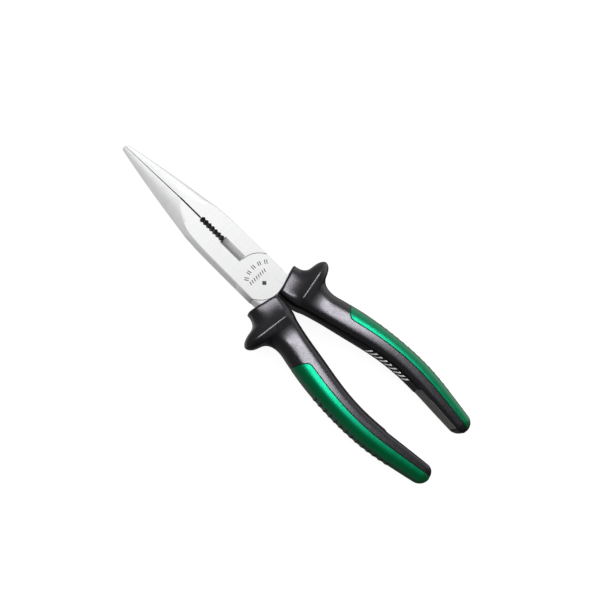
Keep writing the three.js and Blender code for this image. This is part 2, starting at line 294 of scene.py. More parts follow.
def jaw_ring(y):
    """Section of the left jaw at a height: a squarish half-round, cut flat at the head's faces."""
    s = NOSE_REACH - y
    width = min(TIP_HALF_WIDTH + NOSE_WIDENING * s - NOSE_WIDENING_LOSS * s * s, HEAD_HALF_WIDTH)
    depth = TIP_HALF_DEPTH + NOSE_THICKENING * s + CHEEK_GROWTH * max(0.0, s - CHEEK_START) ** 2
    tip = math.sqrt(min(1.0, (s + TIP_ROUND_START) / TIP_ROUND_LENGTH))
    size = TIP_BLUNT_SHARE + TIP_GAINED_SHARE * tip
    width, depth = width * size, depth * size
    along = s / (NOSE_REACH - TEETH_FRONT)
    gap = GAP_AT_TIP if along > 1 else GAP_AT_TIP + (GAP_AT_TEETH - GAP_AT_TIP) * along
    chamfer = EDGE_BREAK + (SIDE_CHAMFER - EDGE_BREAK) * float(smoothstep(*CHAMFER_GROWTH, s))
    top = min(depth, HEAD_HALF)
    power = 2 / NOSE_SQUARENESS
    clip = math.asin(min(1.0, HEAD_HALF / depth) ** (1 / power))
    side = math.asin(min(1.0, (HEAD_HALF - chamfer) / depth) ** (1 / power))
    flat_width = (width - gap) * math.cos(clip) ** power - CHAMFER_INSET * chamfer
    flat = np.linspace(-gap - EDGE_BREAK, -gap - max(flat_width, EDGE_BREAK), FLAT_POINTS)
    arc = np.linspace(side, -side, FLANK_POINTS)
    arc_x = -gap - (width - gap) * np.abs(np.cos(arc)) ** power
    arc_z = depth * np.sign(arc) * np.abs(np.sin(arc)) ** power
    face = np.linspace(EDGE_BREAK - top, top - EDGE_BREAK, FACE_POINTS)
    phase = (y - TEETH_FRONT) / SERRATION_PITCH
    tooth = 2 * abs(phase - math.floor(phase + 0.5))
    serrated = TEETH_FRONT + PLAIN_AT_TEETH < y < NOSE_REACH - PLAIN_AT_TIP
    face_x = np.full(FACE_POINTS, -gap - SERRATION_DEPTH * tooth * serrated)
    x = np.concatenate([flat, arc_x, flat[::-1], face_x])
    z = np.concatenate([np.full(FLAT_POINTS, top), arc_z, np.full(FLAT_POINTS, -top), face])
    return np.column_stack([x, np.full(len(x), y), z])


def left_jaw():
    """The jaw from its tip to the joint, with a row at every crest and root of the serrations."""
    tip = NOSE_REACH - np.array(TIP_STEPS)
    step = SERRATION_PITCH / 2
    teeth = np.arange(NOSE_REACH - PLAIN_AT_TIP, TEETH_FRONT + 0.1, -step)
    teeth = TEETH_FRONT + step * np.round((teeth - TEETH_FRONT) / step)
    plain = np.arange(TEETH_FRONT - 0.3, -0.01, -PLAIN_ROW_STEP)
    heights = np.concatenate([tip, teeth, plain, [0]])
    return closed_loft("jaw", [jaw_ring(y) for y in heights])


def flared(name, outline):
    """A prism through the head whose outline widens at both faces, to break the cut's edges."""
    outline = np.asarray(outline, float)
    end = HEAD_HALF + OVERRUN
    start = HEAD_HALF - EDGE_BREAK
    spread = np.sign(outline) * (end - start)
    spread[:, 1] = 0
    wide = outline + spread
    levels = [(-end, wide), (-start, outline), (start, outline), (end, wide)]
    return closed_loft(name, [np.column_stack([o, np.full(len(o), z)]) for z, o in levels])


def teeth_opening():
    """The toothed opening of the pipe grip, the same on both jaws."""
    pitch = (TEETH_FRONT - TEETH_BACK) / TOOTH_COUNT
    right = [(TOOTH_CREST, TEETH_BACK)]
    for i in range(1, TOOTH_COUNT + 1):
        right.append((TOOTH_ROOT, TEETH_BACK + pitch * (i - 0.5)))
        right.append((TOOTH_CREST, TEETH_BACK + pitch * i))
    left = [(-x, y) for x, y in reversed(right)]
    return flared("teeth", right + left)


def cutter_bevels():
    """The ground V behind the cutting edge, one on each face."""
    slope = CUTTER_HALF_WIDTH / HEAD_HALF
    top = HEAD_HALF + OVERRUN
    section = np.array([
        [CUTTER_HALF_WIDTH, CUTTER_LAND], [CUTTER_HALF_WIDTH, top],
        [-GAP_AT_TIP - slope * (top - CUTTER_LAND), top], [-GAP_AT_TIP, CUTTER_LAND],
    ])
    tools = []
    for side in (1, -1):
        rings = [np.column_stack([section[:, 0], np.full(4, y), side * section[:, 1]])
                 for y in (CUTTER_BACK, CUTTER_FRONT)]
        tools.append(closed_loft("bevel", rings))
    return tools


def joint_disc():
    """The disc of the lap joint, trimmed to the width and chamfers of the head."""
    rim = EDGE_BREAK
    disc = lathe("disc", [
        (DISC_RADIUS, LAP_GAP), (DISC_RADIUS, HEAD_HALF - rim), (DISC_RADIUS - rim, HEAD_HALF),
    ], DISC_SIDES)
    wide, long, edge = HEAD_HALF_WIDTH, POCKET_RADIUS + OVERRUN, SIDE_CHAMFER
    inset = CHAMFER_INSET * edge
    section = [(-wide, -OVERRUN), (wide, -OVERRUN), (wide, HEAD_HALF - edge),
               (wide - inset, HEAD_HALF), (inset - wide, HEAD_HALF), (-wide, HEAD_HALF - edge)]
    block = [[(x, y, z) for x, z in section] for y in (-long, long)]
    return combine(disc, [closed_loft("block", block)], "INTERSECT")


def pocket():
    """Room behind the lap for the other half's disc."""
    flare = OVERRUN + EDGE_BREAK
    return lathe("pocket", [
        (POCKET_RADIUS + flare, -HEAD_HALF - OVERRUN), (POCKET_RADIUS, EDGE_BREAK - HEAD_HALF),
        (POCKET_RADIUS, LAP_GAP),
    ], DISC_SIDES)


def rivet_hole():
    radius, end = RIVET_RADIUS + RIVET_FIT, HEAD_HALF + OVERRUN
    return lathe("hole", [(radius, -end), (radius, end)], RIVET_SIDES)


# ---- Grip surface ----

def natural_spline(knots, values):
    """Second derivatives at the knots of the natural cubic spline through the rows of values."""
    gaps = np.diff(knots)
    slopes = np.diff(values, axis=0) / gaps[:, None]
    system, right = np.eye(len(knots)), np.zeros_like(values)
    for i in range(1, len(knots) - 1):
        system[i, i - 1:i + 2] = gaps[i - 1], 2 * (gaps[i - 1] + gaps[i]), gaps[i]
        right[i] = 6 * (slopes[i] - slopes[i - 1])
    return np.linalg.solve(system, right)


chords = np.diff(STATIONS, axis=0)
KNOTS = np.concatenate([[0], np.cumsum(
    (np.hypot(chords[:, 0], chords[:, 1]) + np.hypot(chords[:, 2], chords[:, 3])) / 2)])
BENDS = natural_spline(KNOTS, STATIONS)


def rails(u):
    """Inner edge, outer edge and half thickness of the grip at station numbers u."""
    t = np.interp(u, np.arange(len(KNOTS)), KNOTS)
    i = np.clip(np.searchsorted(KNOTS, t) - 1, 0, len(KNOTS) - 2)
    gap = (KNOTS[i + 1] - KNOTS[i])[..., None]
    a = (KNOTS[i + 1] - t)[..., None] / gap
    b = 1 - a
    value = a * STATIONS[i] + b * STATIONS[i + 1]
    value = value + ((a ** 3 - a) * BENDS[i] + (b ** 3 - b) * BENDS[i + 1]) * gap ** 2 / 6
    return value[..., 0:2], value[..., 2:4], value[..., 4]


CREST_Y = float(np.mean([STATIONS[GUARD_STATION, 1], STATIONS[GUARD_STATION, 3]]))
COUNT_UP = np.linspace(0, TAIL_STATION, 2801)
RAIL_INNER, RAIL_OUTER, _ = rails(COUNT_UP)
RAIL_MIDDLE = (RAIL_INNER + RAIL_OUTER) / 2
LATE = COUNT_UP > WAIST_STATION
NOSE_FRONT = float(np.interp(-OVERLAY_OUTER_Y, -RAIL_OUTER[LATE, 1], COUNT_UP[LATE]))
NOSE_BACK = float(np.interp(-OVERLAY_MIDDLE_Y, -RAIL_MIDDLE[LATE, 1], COUNT_UP[LATE]))


def grip_point(u, phi, inset=0.0):
    """Points of the grip's outer surface; u past the last station runs over the rounded tail."""
    u, phi = np.broadcast_arrays(np.asarray(u, float), np.asarray(phi, float))
    inner, outer, thick = rails(np.minimum(u, TAIL_STATION))
    middle = (inner + outer) / 2
    across = (outer - inner) / 2
    half = np.linalg.norm(across, axis=-1)
    across = across / half[..., None]
    tailward = np.stack([across[..., 1], -across[..., 0]], -1)
    turn = DOME_START + np.clip(u - TAIL_STATION, 0, 1) * (math.pi / 2 - DOME_START)
    domed = u > TAIL_STATION
    scale = np.where(domed, np.cos(turn) / math.cos(DOME_START), 1.0)
    shift = np.where(domed, (np.sin(turn) - math.sin(DOME_START)) / math.cos(DOME_START), 0.0)
    grown = smoothstep(*COLLAR_BLEND, u)
    roundness = [at[0] + (at[1] - at[0]) * grown for at in (INNER_ROUNDNESS, OUTER_ROUNDNESS)]
    x, z = superellipse(phi, roundness)
    facet_edge = FACET_START + FACET_SLANT * np.abs(np.sin(phi))
    x = np.maximum(x, FACET_CUT * smoothstep(facet_edge, facet_edge + FACET_STEP, u) - 1)
    away = CREST_Y - middle[..., 1]
    fall = np.sqrt(away ** 2 + GUARD_CREST ** 2) - GUARD_CREST
    flare = np.where(away > 0, GUARD_FLARE[1], GUARD_FLARE[0])
    guard = GUARD_HEIGHT * np.exp(-fall / flare) * smoothstep(*GUARD_RISE, x)
    wide = (half - inset) * scale
    high = (thick + guard - inset) * scale
    flat = middle + across * (wide * x)[..., None] + tailward * (shift * (half - inset))[..., None]
    return np.concatenate([flat, (high * z)[..., None]], -1)


def grip_normal(u, phi):
    """Outward unit normals of the grip's surface, by small differences."""
    u, step = np.minimum(u, TAIL_STATION + DOME_LIMIT), 0.004
    along = grip_point(u + step, phi) - grip_point(u - step, phi)
    around = grip_point(u, phi + step) - grip_point(u, phi - step)
    normal = np.cross(around, along)
    return normal / np.maximum(np.linalg.norm(normal, axis=-1, keepdims=True), 1e-12)


def boundary_angle(u):
    """Angle of the overlay's edge from the outer side: none before its nose, then to the crest."""
    part = np.clip((np.asarray(u, float) - NOSE_FRONT) / (NOSE_BACK - NOSE_FRONT), 0, 1)
    return math.pi / 2 * np.sqrt(1 - (1 - part) ** 2)


def nose_rows():
    """Station numbers over the rounded front end of the overlay."""
    turn = np.linspace(0, math.pi / 2, 25)
    return NOSE_FRONT + (NOSE_BACK - NOSE_FRONT) * (1 - np.cos(turn))


def tail_rows():
    """Station numbers from there over the facet's edge and the round tail."""
    long = np.linspace(NOSE_BACK, TAIL_STATION, 90)[1:]
    facet = np.arange(FACET_START, FACET_START + FACET_SLANT + FACET_STEP, FACET_ROW_STEP)
    dome = TAIL_STATION + np.linspace(0, 1, 21)[1:]
    return np.concatenate([np.sort(np.concatenate([long, facet])), dome])


def edge_distance():
    """A search tree over dense points along the overlay's edge."""
    rows = np.concatenate([nose_rows(), tail_rows()])
    dense = np.interp(np.linspace(0, len(rows) - 1, 9000), np.arange(len(rows)), rows)
    angle = boundary_angle(dense)
    points = np.vstack([grip_point(dense, angle), grip_point(dense, -angle)])
    tree = kdtree.KDTree(len(points))
    for i, point in enumerate(points):
        tree.insert(point, i)
    tree.balance()
    return tree


EDGE_TREE = edge_distance()


def rounded_drop(points, start, radius):
    """How far a surface falls near the overlay's edge: a quarter round that begins at start."""
    flat = points.reshape(-1, 3)
    away = np.array([EDGE_TREE.find(point)[2] for point in flat]).reshape(points.shape[:-1])
    inside = np.clip(1 - (away - start) / radius, 0, 1)
    return radius * (1 - np.sqrt(1 - inside ** 2))


def eased(count, tightness):
    """Numbers from 0 to 1 that crowd towards both ends."""
    x = np.linspace(0, 1, count)
    return x - tightness * np.sin(2 * math.pi * x) / (2 * math.pi)


# ---- Grip body and overlay ----

def tang_bar(number):
    """Inner edge, outer edge and half thickness of the tang at a station."""
    inner, outer, _ = rails(np.array(float(number)))
    middle, across = (inner + outer) / 2, (outer - inner) / np.linalg.norm(outer - inner)
    part = (number - WAIST_STATION) / (TANG_END - WAIST_STATION)
    wide = TANG_HALF_WIDTH[0] + part * (TANG_HALF_WIDTH[1] - TANG_HALF_WIDTH[0])
    deep = TANG_HALF_DEPTH[0] + part * (TANG_HALF_DEPTH[1] - TANG_HALF_DEPTH[0])
    return middle - across * wide, middle + across * wide, deep


def cavity_rings(phi):
    """The seat of the tang and its sleeve, from the deep end out to the collar's front face."""
    rings = []
    for number in range(TANG_END, WAIST_STATION - 1, -1):
        bar = tang_bar(number)
        rings.append(bar_ring(*bar, CORE_WALL_AND_CLEARANCE, TANG_ROUNDNESS, phi))
    for ix, iy, ox, oy, thick in TANG_ROOT[:2:-1]:
        rings.append(bar_ring((ix, iy), (ox, oy), thick, ROOT_CLEARANCE, ROOT_ROUNDNESS, phi))
    inner, outer, _ = rails(np.array(0.0))
    direction = (outer - inner) / np.linalg.norm(outer - inner)
    low = inner + direction * (TANG_ROOT[2, 0] - inner[0]) / direction[0]
    high = inner + direction * (TANG_ROOT[2, 2] - inner[0]) / direction[0]
    rings.append(bar_ring(low, high, HEAD_HALF, HEAD_CLEARANCE, ROOT_ROUNDNESS, phi))
    return rings


def front_rim(phi):
    """The collar's front face and its rounded edge, out to the side of the grip."""
    inner, outer, _ = rails(np.array(0.0))
    across = (outer - inner) / np.linalg.norm(outer - inner)
    tailward = np.array([across[1], -across[0], 0.0])
    rings = []
    for turn in np.linspace(0, math.pi / 2, 9)[:-1]:
        ring = grip_point(0.0, phi, COLLAR_ROUND * (1 - math.sin(turn)))
        rings.append(ring + tailward * COLLAR_ROUND * (1 - math.cos(turn)))
    return rings


def body_rows():
    """Station numbers from the collar to the overlay's front end, close together at the crest."""
    collar = np.concatenate([np.linspace(0.32, 3.4, 22), np.linspace(3.5, 3.9, 7),
                             [3.95, 3.98, 4.0, 4.02, 4.05], np.linspace(4.1, 4.5, 7)])
    waist = np.linspace(4.6, WAIST_STATION, 24)
    before = np.concatenate([np.linspace(WAIST_STATION, NOSE_FRONT, 16)[1:-1],
                             NOSE_FRONT - np.array([0.04, 0.02, 0.01, 0.004])])
    return np.concatenate([collar, waist, np.sort(before)])


def grip_body():
    """Black moulding: seat, collar, guard and grip, with a recess that the overlay fills."""
    share = eased(MOULDING_POINTS, GROOVE_CROWDING)
    rows = np.concatenate([body_rows(), nose_rows(), tail_rows()])
    edge = boundary_angle(rows)[:, None]
    phi = edge + share * (2 * math.pi - 2 * edge)
    surface = grip_point(rows[:, None], phi)
    drop = rounded_drop(surface, GROOVE_GAP / 2, GROOVE_ROUND)
    outside = surface - grip_normal(rows[:, None], phi) * drop[..., None]
    around = share * 2 * math.pi
    inside = cavity_rings(around)
    rim = front_rim(around)
    face = [inside[-1] + (rim[0] - inside[-1]) * part for part in (0.25, 0.5, 0.75)]
    chain = np.array(inside + face + rim + list(outside))
    parts = [(chain, grid_faces(len(chain), len(share), False))]
    first = len(body_rows())
    recess_rows = rows[first:]
    sweep = edge[first:] * np.linspace(1, -1, FLOOR_POINTS)
    floor = grip_point(recess_rows[:, None], sweep)
    floor -= grip_normal(recess_rows[:, None], sweep) * (OVERLAY_DEPTH + GROOVE_GAP)
    seat = np.concatenate([outside[first:, :1], floor, outside[first:, -1:]], 1)
    parts.append((seat, grid_faces(len(recess_rows), FLOOR_POINTS + 2, False)))
    return build_mesh("grip_body", parts, [range(MOULDING_POINTS - 1)])


def grip_overlay():
    """Green inlay: a shell over the outer half of the grip, with rounded edges."""
    rows = np.concatenate([nose_rows(), tail_rows()])
    edge = boundary_angle(rows)[:, None]
    top = edge * (2 * eased(INLAY_POINTS, GROOVE_CROWDING) - 1)
    surface = grip_point(rows[:, None], top)
    rise = OVERLAY_PROUD - rounded_drop(surface, GROOVE_GAP / 2, GROOVE_ROUND)
    outside = surface + grip_normal(rows[:, None], top) * rise[..., None]
    bottom = edge * np.linspace(1, -1, FLOOR_POINTS)
    inside = grip_point(rows[:, None], bottom)
    inside = inside - grip_normal(rows[:, None], bottom) * OVERLAY_DEPTH
    loops = np.concatenate([outside, inside], 1)
    faces = grid_faces(len(rows), INLAY_POINTS + FLOOR_POINTS, True)
    return build_mesh("grip_overlay", [(loops, faces)])


def station_at(y):
    """The station number where the grip's outer edge is at height y."""
    return np.interp(-np.asarray(y), -RAIL_OUTER[LATE, 1], COUNT_UP[LATE])


def strip(u, phi, section):
    """Rings of a strip that runs over the grip; its section is (along the grip, height) pairs."""
    u, phi = np.broadcast_arrays(np.asarray(u, float), np.asarray(phi, float))
    step = 0.01
    along = grip_point(u + step, phi) - grip_point(u - step, phi)
    along = along / np.linalg.norm(along, axis=-1, keepdims=True)
    section = np.broadcast_to(section, (len(u), *np.shape(section)[-2:]))
    return (grip_point(u, phi)[:, None] + along[:, None] * section[..., :1]
            + grip_normal(u, phi)[:, None] * section[..., 1:])


def grip_ribs():
    """Rounded cross ribs over the outer wall of the inlay."""
    reach = np.linspace(-1, 1, 17)
    turn = np.linspace(0, math.pi, 9)
    swell = np.sqrt(1.001 - reach ** 2)[:, None]
    across = np.broadcast_to(RIB_WIDTH / 2 * np.cos(turn), (len(reach), len(turn)))
    section = np.stack([across, RIB_HEIGHT * swell * np.sin(turn) - RIB_SUNK * (1 - swell)], -1)
    half = RIB_WIDTH / 2
    foot = np.broadcast_to([[-half, -RIB_SUNK], [half, -RIB_SUNK]], (len(reach), 2, 2))
    section = np.concatenate([section, foot], 1)
    numbers = station_at(RIB_FIRST_Y - RIB_PITCH * np.arange(RIB_COUNT))
    return closed_lofts("ribs", [strip(u, reach * RIB_REACH, section) for u in numbers])


def flank_print():
    """A row of slanted strokes printed on the inner flank."""
    half = PRINT_STROKE / 2
    section = [(-half, -PRINT_SUNK), (half, -PRINT_SUNK),
               (half, PRINT_PROUD), (-half, PRINT_PROUD)]
    share = np.linspace(0, 1, 9)
    phi = PRINT_LOW + share * (PRINT_HIGH - PRINT_LOW)
    starts = np.linspace(*station_at(PRINT_SPAN), PRINT_COUNT)
    return closed_lofts("print", [strip(u + PRINT_SLANT * share, phi, section) for u in starts])


def etched_bar(x, y, length, width, angle):
    """A thin dark bar in the surface of the front disc."""
    run = np.array([math.cos(angle), math.sin(angle)])
    side = np.array([-math.sin(angle), math.cos(angle)])
    corners = [np.array([x, y]) + run * length / 2 * a + side * width / 2 * b
               for a, b in ((-1, -1), (1, -1), (1, 1), (-1, 1))]
    levels = HEAD_HALF - MARK_SUNK, HEAD_HALF + MARK_PROUD
    return [[(*corner, level) for corner in corners] for level in levels]


def disc_marking():
    """A generic mark: an arc of paired strokes, a row of slanted ones and a diamond."""
    bars = []
    for angle in np.radians(np.linspace(*MARK_ARC)):
        for side in (-MARK_PAIR, MARK_PAIR):
            x = MARK_CENTRE[0] + MARK_RADIUS * math.cos(angle) + side * math.sin(angle)
            y = MARK_CENTRE[1] + MARK_RADIUS * math.sin(angle) - side * math.cos(angle)
            bars.append(etched_bar(x, y, MARK_HEIGHT, MARK_STROKE, angle))
    for x in np.linspace(*MARK_ROW):
        height = MARK_HEIGHT * MARK_ROW_SHARE
        bars.append(etched_bar(x, MARK_ROW_Y, height, MARK_STROKE, MARK_ROW_SLANT))
    bars.append(etched_bar(*MARK_DIAMOND, math.pi / 4))
    return closed_lofts("marking", bars)


def skewed(mesh, angle):
    mesh.transform(Matrix.Rotation(angle, 4, "Z"))
    return mesh


# ---- Forgings ----

def tang(skew):
    """The handle end of a forging, from its root at the joint to its end inside the grip."""
    phi = np.linspace(0, 2 * math.pi, 96, endpoint=False)
    rings = [bar_ring((ix, iy), (ox, oy), thick, 0, ROOT_ROUNDNESS, phi)
             for ix, iy, ox, oy, thick in TANG_ROOT]
    for number in range(WAIST_STATION, TANG_END + 1):
        rings.append(bar_ring(*tang_bar(number), 0, TANG_ROUNDNESS, phi))
    return skewed(closed_loft("tang", rings), skew)


def forging(skew):
    """Left jaw, front disc and the tang of the right handle."""
    half = combine(left_jaw(), [tang(skew)], "UNION")
    half = combine(half, [pocket()], "DIFFERENCE")
    half = combine(half, [joint_disc()], "UNION")
    return combine(half, [teeth_opening(), *cutter_bevels(), rivet_hole()], "DIFFERENCE")


def rivet():
    """The rivet, ground flush with both faces of the head."""
    end, radius, edge = HEAD_HALF, RIVET_RADIUS, RIVET_EDGE
    return lathe("rivet", [(radius - edge, -end), (radius, edge - end),
                           (radius, end - edge), (radius - edge, end)], RIVET_SIDES)


# ---- Materials ----

class Surface:
    """A Principled material and the few nodes that vary it over the object, in object space."""

    def __init__(self, name, base, roughness, metallic=0.0):
        self.material = bpy.data.materials.new(name)
        self.material.use_nodes = True
        self.tree = self.material.node_tree
        self.shader = self.tree.nodes["Principled BSDF"]
        self.shader.inputs["Base Color"].default_value = (*base, 1)
        self.shader.inputs["Roughness"].default_value = roughness
        self.shader.inputs["Metallic"].default_value = metallic
        self.where = self.tree.nodes.new("ShaderNodeTexCoord").outputs["Object"]

    def link(self, source, target):
        self.tree.links.new(source, target)
        return target

    def noise(self, scale, detail, stretch=(1, 1, 1)):
        mapping = self.tree.nodes.new("ShaderNodeMapping")
        mapping.inputs["Scale"].default_value = stretch
        self.link(self.where, mapping.inputs["Vector"])
        node = self.tree.nodes.new("ShaderNodeTexNoise")
        node.inputs["Scale"].default_value = scale
        node.inputs["Detail"].default_value = detail
        self.link(mapping.outputs["Vector"], node.inputs["Vector"])
        return node.outputs["Fac"]

    def ranged(self, source, low, high):
        """The noise's usual range spread over a range of values."""
        node = self.tree.nodes.new("ShaderNodeMapRange")
        limits = {"From Min": 0.3, "From Max": 0.7, "To Min": low, "To Max": high}
        for name, value in limits.items():
            node.inputs[name].default_value = value
        self.link(source, node.inputs["Value"])
        return node.outputs["Result"]

    def colours(self, source, *stops):
        """Base colour between two stops of (noise value, colour)."""
        node = self.tree.nodes.new("ShaderNodeValToRGB")
        for element, (position, colour) in zip(node.color_ramp.elements, stops):
            element.position, element.color = position, (*colour, 1)
        self.link(source, node.inputs["Fac"])
        self.link(node.outputs["Color"], self.shader.inputs["Base Color"])

    def bump(self, source, strength, distance):
        """Fine relief from a noise; distance is in metres."""
        node = self.tree.nodes.new("ShaderNodeBump")
        node.inputs["Strength"].default_value = strength
        node.inputs["Distance"].default_value = distance
        self.link(source, node.inputs["Height"])
        self.link(node.outputs["Normal"], self.shader.inputs["Normal"])


def ground_steel():
    """The flats of the head: ground, with fine lines across the tool."""
    s = Surface("ground_steel", (0.86, 0.865, 0.87), 0.26, 1.0)
    lines = s.noise(2600, 2, (0.12, 1, 1))
    s.colours(lines, (0.3, (0.85, 0.855, 0.86)), (0.7, (0.88, 0.88, 0.88)))
    s.link(s.ranged(s.noise(700, 3, (0.2, 1, 1)), 0.22, 0.28), s.shader.inputs["Roughness"])
    s.bump(lines, 0.02, 0.00001)
    return s.material


def forged_steel():
    """Flanks and sides: polished forging skin with a faint grain."""
    s = Surface("forged_steel", (0.84, 0.845, 0.85), 0.4, 1.0)
    s.colours(s.noise(260, 5), (0.3, (0.81, 0.815, 0.825)), (0.7, (0.87, 0.87, 0.875)))
    s.link(s.ranged(s.noise(420, 4), 0.36, 0.46), s.shader.inputs["Roughness"])
    s.bump(s.noise(5200, 3), 0.05, 0.00001)
    return s.material


def shade_painted_steel():
    """Rough walls of the pipe grip, painted dark: painted shade in the deep opening."""
    s = Surface("shade_painted_steel", (0.2, 0.2, 0.21), 0.5, 1.0)
    s.colours(s.noise(900, 4), (0.3, (0.16, 0.16, 0.17)), (0.7, (0.26, 0.26, 0.27)))
    s.bump(s.noise(3000, 3), 0.2, 0.00003)
    return s.material


def cutter_steel():
    """Ground bevels behind the cutting edge."""
    s = Surface("cutter_steel", (0.95, 0.95, 0.96), 0.35, 0.55)
    s.colours(s.noise(2600, 2, (1, 0.12, 1)), (0.3, (0.93, 0.93, 0.94)), (0.7, (0.97, 0.97, 0.97)))
    s.link(s.ranged(s.noise(500, 3), 0.3, 0.42), s.shader.inputs["Roughness"])
    return s.material


def rivet_steel():
    """The rivet's ends, ground along with the flats."""
    s = Surface("rivet_steel", (0.85, 0.855, 0.86), 0.26, 1.0)
    lines = s.noise(2600, 2, (0.12, 1, 1))
    s.colours(lines, (0.3, (0.83, 0.835, 0.845)), (0.7, (0.88, 0.88, 0.88)))
    s.bump(lines, 0.08, 0.00002)
    return s.material


def black_rubber():
    """Soft black moulding: fine spark-eroded texture with a slightly uneven gloss."""
    s = Surface("black_rubber", (0.0015, 0.00145, 0.00165), 0.26)
    s.colours(s.noise(900, 4), (0.35, (0.0011, 0.00105, 0.00125)), (0.65, (0.002, 0.0019, 0.0021)))
    s.link(s.ranged(s.noise(650, 5), 0.23, 0.28), s.shader.inputs["Roughness"])
    s.shader.inputs["Specular IOR Level"].default_value = 0.2
    s.shader.inputs["Specular Tint"].default_value = (0.94, 0.91, 1.0, 1)
    s.bump(s.noise(4200, 2), 0.035, 0.00002)
    return s.material


def facet_sheen_rubber():
    """The flat facet near the tail, painted a lighter dull grey: a painted sheen of the light the
    flat catches.
    """
    s = Surface("facet_sheen_rubber", (0.065, 0.066, 0.06), 0.5)
    s.colours(s.noise(420, 4), (0.3, (0.055, 0.056, 0.051)), (0.7, (0.075, 0.076, 0.069)))
    s.link(s.ranged(s.noise(900, 4), 0.42, 0.58), s.shader.inputs["Roughness"])
    s.bump(s.noise(2600, 3), 0.05, 0.00003)
    return s.material


def green_plastic():
    """Hard green moulding with a clear gloss and a faint flow pattern."""
    s = Surface("green_plastic", (0.0001, 0.017, 0.0032), 0.34)
    s.colours(s.noise(140, 3), (0.3, (0.0001, 0.0158, 0.0029)), (0.7, (0.0001, 0.0182, 0.0035)))
    s.link(s.ranged(s.noise(500, 4), 0.31, 0.37), s.shader.inputs["Roughness"])
    s.shader.inputs["Specular IOR Level"].default_value = 0.56
    s.shader.inputs["Specular Tint"].default_value = (0.02, 1.0, 0.55, 1)
    s.bump(s.noise(1500, 3), 0.06, 0.00004)
    return s.material


def white_ink():
    """Printing on the flank, a little uneven."""
    s = Surface("white_ink", (0.75, 0.75, 0.74), 0.5)
    s.colours(s.noise(1800, 4), (0.3, (0.6, 0.6, 0.6)), (0.6, (0.82, 0.82, 0.81)))
    return s.material


def etched_steel():
    """Laser-darkened steel."""
    s = Surface("etched_steel", (0.09, 0.09, 0.095), 0.6, 0.6)
    s.colours(s.noise(2500, 4), (0.3, (0.06, 0.06, 0.065)), (0.7, (0.13, 0.13, 0.135)))
    return s.material


def sleeve_plastic():
    """The hard sleeves inside the grips."""
    s = Surface("sleeve_plastic", (0.05, 0.05, 0.053), 0.55)
    s.colours(s.noise(700, 4), (0.3, (0.04, 0.04, 0.043)), (0.7, (0.06, 0.06, 0.063)))
    s.bump(s.noise(2500, 3), 0.2, 0.00005)
    return s.material


# The last finish is a dark steel painted on the pipe grip's walls as shade.
GROUND, FORGED, BEVEL, PAINTED_SHADE = range(4)
# How near the face of the head a flat lies and points, and room beside the painted cuts.
LEVEL_TOLERANCE, LEVEL_NORMAL, PAINT_MARGIN, BEVEL_MARGIN = 0.01, 0.99, 0.1, 0.3


def paint_steel(mesh, finishes):
    """Ground flats, forged flanks, ground cutter bevels and the walls of the pipe grip in painted
    shade.
    """
    mesh.materials.clear()
    for finish in finishes:
        mesh.materials.append(finish)
    for face in mesh.polygons:
        x, y, z = face.center
        level = abs(abs(z) - HEAD_HALF) < LEVEL_TOLERANCE and abs(face.normal.z) > LEVEL_NORMAL
        central = abs(x) < CUTTER_HALF_WIDTH + BEVEL_MARGIN and abs(z) < HEAD_HALF - 0.001
        toothed = TEETH_BACK <= y <= TEETH_FRONT + PAINT_MARGIN
        if level:
            face.material_index = GROUND
        elif central and CUTTER_BACK - PAINT_MARGIN < y < TEETH_BACK:
            face.material_index = BEVEL
        # The pipe grip's walls take the dark steel, a painted shade.
        elif central and toothed and abs(x) < TOOTH_ROOT + PAINT_MARGIN:
            face.material_index = PAINTED_SHADE
        else:
            face.material_index = FORGED
    return mesh


def paint_body(mesh, finishes):
    """Black but for the facet, which lies at a fixed share of the grip's half width and is painted
    grey as a sheen.
    """
    for finish in finishes:
        mesh.materials.append(finish)
    for face in mesh.polygons:
        x, y, z = face.center
        number = float(np.interp(-y, -RAIL_INNER[LATE, 1], COUNT_UP[LATE]))
        inner, outer, thick = rails(np.array(number))
        begun = number > FACET_START + FACET_SLANT * abs(z) / thick + FACET_STEP
        half = (inner - outer) / 2
        share = float(half @ (np.array([x, y]) - (inner + outer) / 2)) / float(half @ half)
        if begun and number < TAIL_STATION and abs(share - 1 + FACET_CUT) < FACET_TOLERANCE:
            # The facet takes the lighter grey, a painted sheen.
            face.material_index = 1
    return mesh


# ---- The pliers ----

# In the order of GROUND, FORGED, BEVEL and PAINTED_SHADE.
finishes = [ground_steel(), forged_steel(), cutter_steel(), shade_painted_steel()]
black, green = black_rubber(), green_plastic()

front_mesh = paint_steel(forging(SKEW), finishes)
rear_mesh = paint_steel(turned_about_y(forging(-SKEW)), finishes)
piece("front_forging", front_mesh, "front", "front_half", 30)
piece("rear_forging", rear_mesh, "rear", "rear_half", 30)
rivet_mesh = rivet()
rivet_mesh.materials.append(rivet_steel())
piece("flush_rivet", rivet_mesh, "rear", "pivot_rivet", 30)

marking_mesh = disc_marking()
marking_mesh.materials.append(etched_steel())
piece("disc_marking", marking_mesh, "front", None)

